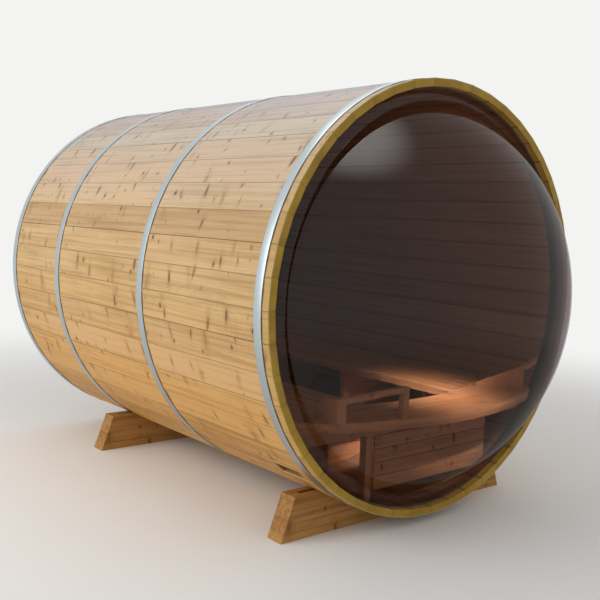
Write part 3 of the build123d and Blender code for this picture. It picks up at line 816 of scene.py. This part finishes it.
def add_end_wall():
    """Upright boards with V joints in place of the end wall's four plain parts."""
    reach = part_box("end_wall_header")[1].z - AXIS_HEIGHT
    outline = round_barrel(reach, STAVE_COUNT)
    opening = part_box("end_wall_right")[0].x
    side_boards = int((reach - opening) / WALL_BOARD)
    middle_boards = round(2 * opening / WALL_BOARD)
    joints = [opening + WALL_BOARD * index for index in range(side_boards)] + [reach + BOARD_EDGE]
    middle_joints = [-opening + WALL_BOARD * index for index in range(middle_boards + 1)]
    limits = {
        "end_wall_right": (joints, None),
        "end_wall_left": ([-joint for joint in reversed(joints)], None),
        "end_wall_header": (middle_joints, (1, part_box("end_wall_header")[0].z)),
        "end_wall_sill": (middle_joints, (-1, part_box("end_wall_sill")[1].z)),
    }
    for name, (stops, level) in limits.items():
        low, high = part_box(name)
        work = bmesh.new()
        for left, right in zip(stops, stops[1:]):
            board = clipped(clipped(outline, 0, left, 1), 0, right, -1)
            if level is not None:
                board = clipped(board, 1, level[1], level[0])
            add_board(work, board, low.y, high.y, WALL_V_JOINT, upright_only=True)
        new_piece(name + "_boards", work, [wall_cedar], [name])


def add_framed(work, box, side, bottom, top, edge):
    """Two uprights round an opening, and between them the cross pieces, which take the second finish."""
    low, high = box
    for x_low, x_high in ((low.x, low.x + side), (high.x - side, high.x)):
        add_board(work, rectangle(x_low, x_high, low.z, high.z), low.y, high.y, edge)
    before = set(work.faces)
    for z_low, z_high in ((low.z, low.z + bottom), (high.z - top, high.z)):
        add_board(work, rectangle(low.x + side, high.x - side, z_low, z_high), low.y, high.y, edge)
    for face in set(work.faces) - before:
        face.material_index = 1


def add_bead(work, x_half, z_low, z_high, glass_face, direction):
    """A chamfered strip that holds the glass, mitred at its corners."""
    section = (
        (0.0, 0.0),
        (BEAD_SIZE, 0.0),
        (BEAD_SIZE, BEAD_SIZE / 4),
        (BEAD_SIZE / 4, BEAD_SIZE),
        (0.0, BEAD_SIZE),
    )
    rings = []
    for inset, rise in section:
        y = glass_face + direction * rise
        corners = rectangle(-x_half + inset, x_half - inset, z_low + inset, z_high - inset)
        rings.append([work.verts.new((x, y, z)) for x, z in corners])
    bridge_round(work, rings)


def add_door():
    """The casing, the leaf and its glazing beads as separate members."""
    work = bmesh.new()
    add_framed(work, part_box("door_casing"), CASING_WIDTH, CASING_WIDTH, CASING_WIDTH, CASING_EDGE)
    new_piece("door_casing_boards", work, [stile_cedar, head_cedar], ["door_casing"])

    work = bmesh.new()
    low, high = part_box("door_leaf")
    add_framed(work, (low, high), STILE_WIDTH, BOTTOM_RAIL_WIDTH, STILE_WIDTH, LEAF_EDGE)
    glass_low, glass_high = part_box("door_glass")
    x_half = high.x - STILE_WIDTH
    bottom = low.z + BOTTOM_RAIL_WIDTH
    for face, direction in ((glass_low.y, -1), (glass_high.y, 1)):
        add_bead(work, x_half, bottom, high.z - STILE_WIDTH, face, direction)
    new_piece("door_leaf_members", work, [stile_cedar, head_cedar], ["door_leaf"])


def screw_head(work, place, facing, turn):
    """A domed screw head with a cross recess, facing along some direction."""
    arm = RECESS_REACH
    half = RECESS_HALF_WIDTH
    corners = []
    for quarter in range(4):
        for x, y in ((arm, -half), (arm, half), (half, half)):
            corners.append(Matrix.Rotation(quarter * math.pi / 2, 2) @ Vector((x, y)))
    level = Vector(facing).to_track_quat("Z", "Y").to_matrix() @ Matrix.Rotation(turn, 3, "Z")

    def ring(radius, height):
        made = []
        for corner in corners:
            flat = corner.normalized() * radius if radius else corner
            made.append(work.verts.new(Vector(place) + level @ Vector((flat.x, flat.y, height))))
        return made

    rings = [
        ring(SCREW_RADIUS, -SCREW_RISE / 2),
        ring(SCREW_RADIUS, SCREW_RISE / 2),
        ring(SCREW_RADIUS * 0.8, SCREW_RISE),
        ring(0, SCREW_RISE * 1.05),
        ring(0, -SCREW_RISE / 3),
    ]
    for first, second in zip(rings, rings[1:]):
        bridge(work, first, second)
    work.faces.new(rings[-1])


def spread(first, last, count):
    """Evenly spaced places from the first to the last."""
    return [first + (last - first) * index / (count - 1) for index in range(count)]


def carrier_middles(name, thickness, count):
    """Where a row of supports or joists lies along the barrel."""
    low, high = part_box(name)
    return spread(low.y + thickness / 2, high.y - thickness / 2, count)


def turn_of(index):
    """A different turn for each screw, the same in every run."""
    return index * TURN_STEP


def add_board_screws():
    """Screws in the slats, the floor and the skirt."""
    work = bmesh.new()
    places = []
    slat_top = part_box("left_bench_slats")[1].z
    support_edge = -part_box("left_bench_supports")[1].x
    for y in carrier_middles("left_bench_supports", SUPPORT_THICKNESS, SUPPORT_COUNT):
        for index in range(SLATS_PER_BENCH):
            middle = bench_edge + (index + 0.5) * SLAT_PITCH - SLAT_GAP / 2
            for offset in (-SLAT_SCREW_OFFSET, SLAT_SCREW_OFFSET):
                if middle + offset > support_edge + SCREW_RADIUS:
                    places += [(side * (middle + offset), y, slat_top) for side in (-1, 1)]
    floor_low, floor_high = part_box("floor_boards")
    for y in carrier_middles("floor_joists", SUPPORT_THICKNESS, SUPPORT_COUNT):
        for index in range(FLOOR_BOARD_COUNT):
            middle = floor_low.x + (index + 0.5) * floor_pitch - FLOOR_GAP / 2
            for offset in (-FLOOR_SCREW_OFFSET, FLOOR_SCREW_OFFSET):
                places.append((middle + offset, y, floor_high.z))
    for index, place in enumerate(places):
        screw_head(work, place, (0, 0, 1), turn_of(index))
    skirt_low, skirt_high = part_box("curved_seat_skirt")
    leg_x = skirt_high.x - SKIRT_SCREW_INSET
    for index in range(1, SKIRT_BOARDS):
        z = skirt_high.z - (index - 0.5) * skirt_pitch
        screw_head(work, (leg_x, skirt_low.y, z), (0, -1, 0), turn_of(index))
    new_piece("board_screws", work, [zinc])


def add_door_screws():
    """Screws in the door's casing and hinges."""
    work = bmesh.new()
    low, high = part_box("door_casing")
    levels = spread(low.z + CASING_SCREW_INSET, high.z - CASING_SCREW_INSET, CASING_SCREWS)
    for index, z in enumerate(levels):
        for x in (low.x + CASING_SCREW_SIDE, high.x - CASING_SCREW_SIDE):
            screw_head(work, (x, high.y, z), (0, 1, 0), turn_of(index))
    hinge_low, hinge_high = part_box("door_hinges")
    half = (hinge_high.x - hinge_low.x) / 2
    middle_x = (hinge_low.x + hinge_high.x) / 2
    plate_face = hinge_low.y + HINGE_PLATE_THICKNESS
    half_plate = HINGE_PLATE_HEIGHT / 2
    for z in spread(hinge_low.z + half_plate, hinge_high.z - half_plate, HINGE_COUNT):
        for index, step in enumerate(HINGE_SCREW_STEPS):
            for side in HINGE_SCREW_SIDES:
                place = (middle_x + side * half, plate_face, z + step * HINGE_PLATE_HEIGHT)
                screw_head(work, place, (0, 1, 0), turn_of(index))
    new_piece("door_screws", work, [zinc])


def add_threads():
    """The rolled thread on each band's tension rod."""
    work = bmesh.new()
    angle = (TENSION_STAVE + 0.5) * STAVE_ANGLE
    out = Vector((math.sin(angle), 0, math.cos(angle)))
    run = Vector((math.cos(angle), 0, -math.sin(angle)))
    side = Vector((0, 1, 0))
    turns = int(ROD_LENGTH / THREAD_PITCH)
    for low, high in BANDS:
        centre = Vector((0, (low.y + high.y) / 2, AXIS_HEIGHT))
        centre += out * (BARREL_RADIUS + BAND_THICKNESS + LUG_HEIGHT / 2)
        before = None
        for step in range(2 * turns + 1):
            radius = THREAD_RADIUS if step % 2 else THREAD_ROOT
            middle = centre + run * (step * THREAD_PITCH / 2 - ROD_LENGTH / 2)
            ring = []
            for index in range(THREAD_SIDES):
                around = math.tau * index / THREAD_SIDES
                point = middle + (out * math.cos(around) + side * math.sin(around)) * radius
                ring.append(work.verts.new(point))
            if before is None:
                work.faces.new(ring)
            else:
                bridge(work, before, ring)
            before = ring
        work.faces.new(before)
    new_piece("rod_threads", work, [zinc])


dress_nodes()
add_bands()
add_bubble()
add_seal()
add_end_wall()
add_door()
add_board_screws()
add_door_screws()
add_threads()

# Studio: a pale floor that blends into a pale background, and soft lamps
BACKGROUND = (0.90, 0.90, 0.89)
AMBIENT = 0.72
FLOOR_HALF = 60.0
FADE_START = 2.6
FADE_END = 6.5
PANEL_PLACE = (-0.9, -0.6)
PANEL_HALF = (1.9, 2.6)
PANEL_HEIGHT = 5.0
PANEL_STRENGTH = 6.0


def seen_directly(graph):
    """1 for rays from the camera, in mirrors and through glass."""
    rays = graph.node("LightPath").outputs
    seen = graph.larger(rays["Is Camera Ray"], rays["Is Glossy Ray"])
    return graph.larger(seen, rays["Is Transmission Ray"])


def add_stage_sheet(name, material, corners, height):
    """A flat sheet of the studio, which isn't part of the sauna."""
    mesh = bpy.data.meshes.new(name)
    mesh.from_pydata([(x, y, height) for x, y in corners], [], [(0, 1, 2, 3)])
    mesh.materials.append(material)
    sheet = bpy.data.objects.new(name, mesh)
    bpy.context.scene.collection.objects.link(sheet)
    return sheet


def add_floor():
    """A pale floor that fades into the background far from the sauna."""
    material, graph = new_material("studio_floor")
    x, y, z = graph.place()
    grain = graph.noise(graph.vector(x, y, z), scale=40.0, detail=3)
    color = graph.mix(grain, (0.87, 0.865, 0.855), (0.90, 0.895, 0.885))
    matt = graph.node("BsdfDiffuse", {"Color": color})
    glow = graph.node("Emission", {"Color": BACKGROUND, "Strength": 1.0})
    fade = graph.multiply(graph.ramp(graph.length(x, y), FADE_START, FADE_END), seen_directly(graph))
    graph.output(graph.blend(fade, matt, glow))
    corners = rectangle(-FLOOR_HALF, FLOOR_HALF, -FLOOR_HALF, FLOOR_HALF)
    add_stage_sheet("studio_floor", material, corners, 0.0)


def add_overhead_panel():
    """A soft-edged panel overhead that shows only in gloss, as a long sheen on the bubble and the bands."""
    material, graph = new_material("studio_panel")
    x, y, z = graph.place()
    x_share = graph.divide(graph.subtract(x, PANEL_PLACE[0]), PANEL_HALF[0])
    y_share = graph.divide(graph.subtract(y, PANEL_PLACE[1]), PANEL_HALF[1])
    strength = graph.ramp(graph.length(x_share, y_share), 0.35, 1.0, PANEL_STRENGTH, 0.0)
    glow = graph.node("Emission", {"Color": BACKGROUND, "Strength": strength})
    clear = graph.node("BsdfTransparent", {"Color": (1.0, 1.0, 1.0)})
    graph.output(graph.node("AddShader", {0: glow.outputs[0], 1: clear.outputs[0]}))
    low = [place - half for place, half in zip(PANEL_PLACE, PANEL_HALF)]
    high = [place + half for place, half in zip(PANEL_PLACE, PANEL_HALF)]
    corners = rectangle(low[0], high[0], low[1], high[1])
    panel = add_stage_sheet("studio_panel", material, corners, PANEL_HEIGHT)
    panel.visible_camera = False
    panel.visible_diffuse = False
    panel.visible_shadow = False
    panel.visible_transmission = False


def add_world():
    """A pale surround: the background for direct views, and a softer light on everything."""
    world = bpy.data.worlds.new("studio")
    world.use_nodes = True
    graph = Graph(world.node_tree)
    strength = graph.ramp(seen_directly(graph), 0.0, 1.0, AMBIENT, 1.0)
    light = graph.node("Background", {"Color": BACKGROUND, "Strength": strength})
    graph.output(light, kind="OutputWorld")
    bpy.context.scene.world = world


def add_lamp(name, place, aim, size, power, spread=180, mirrored=True):
    """A soft round lamp that the camera doesn't see itself."""
    lamp = bpy.data.lights.new(name, "AREA")
    lamp.shape = "DISK"
    lamp.size = size
    lamp.energy = power
    lamp.spread = math.radians(spread)
    holder = bpy.data.objects.new(name, lamp)
    holder.location = place
    holder.rotation_mode = "QUATERNION"
    holder.rotation_quaternion = (Vector(aim) - Vector(place)).to_track_quat("-Z", "Y")
    holder.visible_camera = False
    holder.visible_glossy = mirrored
    bpy.context.scene.collection.objects.link(holder)


def add_camera():
    """The photograph's own view."""
    azimuth = math.radians(CAMERA_AZIMUTH)
    elevation = math.radians(CAMERA_ELEVATION)
    ahead = Vector((
        math.sin(azimuth) * math.cos(elevation),
        math.cos(azimuth) * math.cos(elevation),
        math.sin(elevation),
    ))
    side = ahead.cross(Vector((0, 0, 1))).normalized()
    up = side.cross(ahead)
    level = Matrix((side, up, -ahead)).transposed()
    camera = bpy.data.cameras.new("camera")
    camera.lens = CAMERA_LENS
    camera.sensor_width = CAMERA_SENSOR
    holder = bpy.data.objects.new("camera", camera)
    holder.location = CAMERA_PLACE
    turned = level @ Matrix.Rotation(math.radians(CAMERA_ROLL), 3, "Z")
    holder.rotation_mode = "QUATERNION"
    holder.rotation_quaternion = turned.to_quaternion()
    bpy.context.scene.collection.objects.link(holder)
    bpy.context.scene.camera = holder


add_floor()
add_world()
add_overhead_panel()
add_lamp("key", place=(-5.5, 1.0, 2.8), aim=(0, 0, 1.0), size=4.5, power=128)
add_lamp(
    "window_lamp", place=(-1.6, -4.6, 4.2), aim=(0.18, -1.00, 0.68),
    size=0.3, power=5, spread=8, mirrored=False,
)
add_camera()
bpy.context.scene.view_settings.view_transform = "Standard"
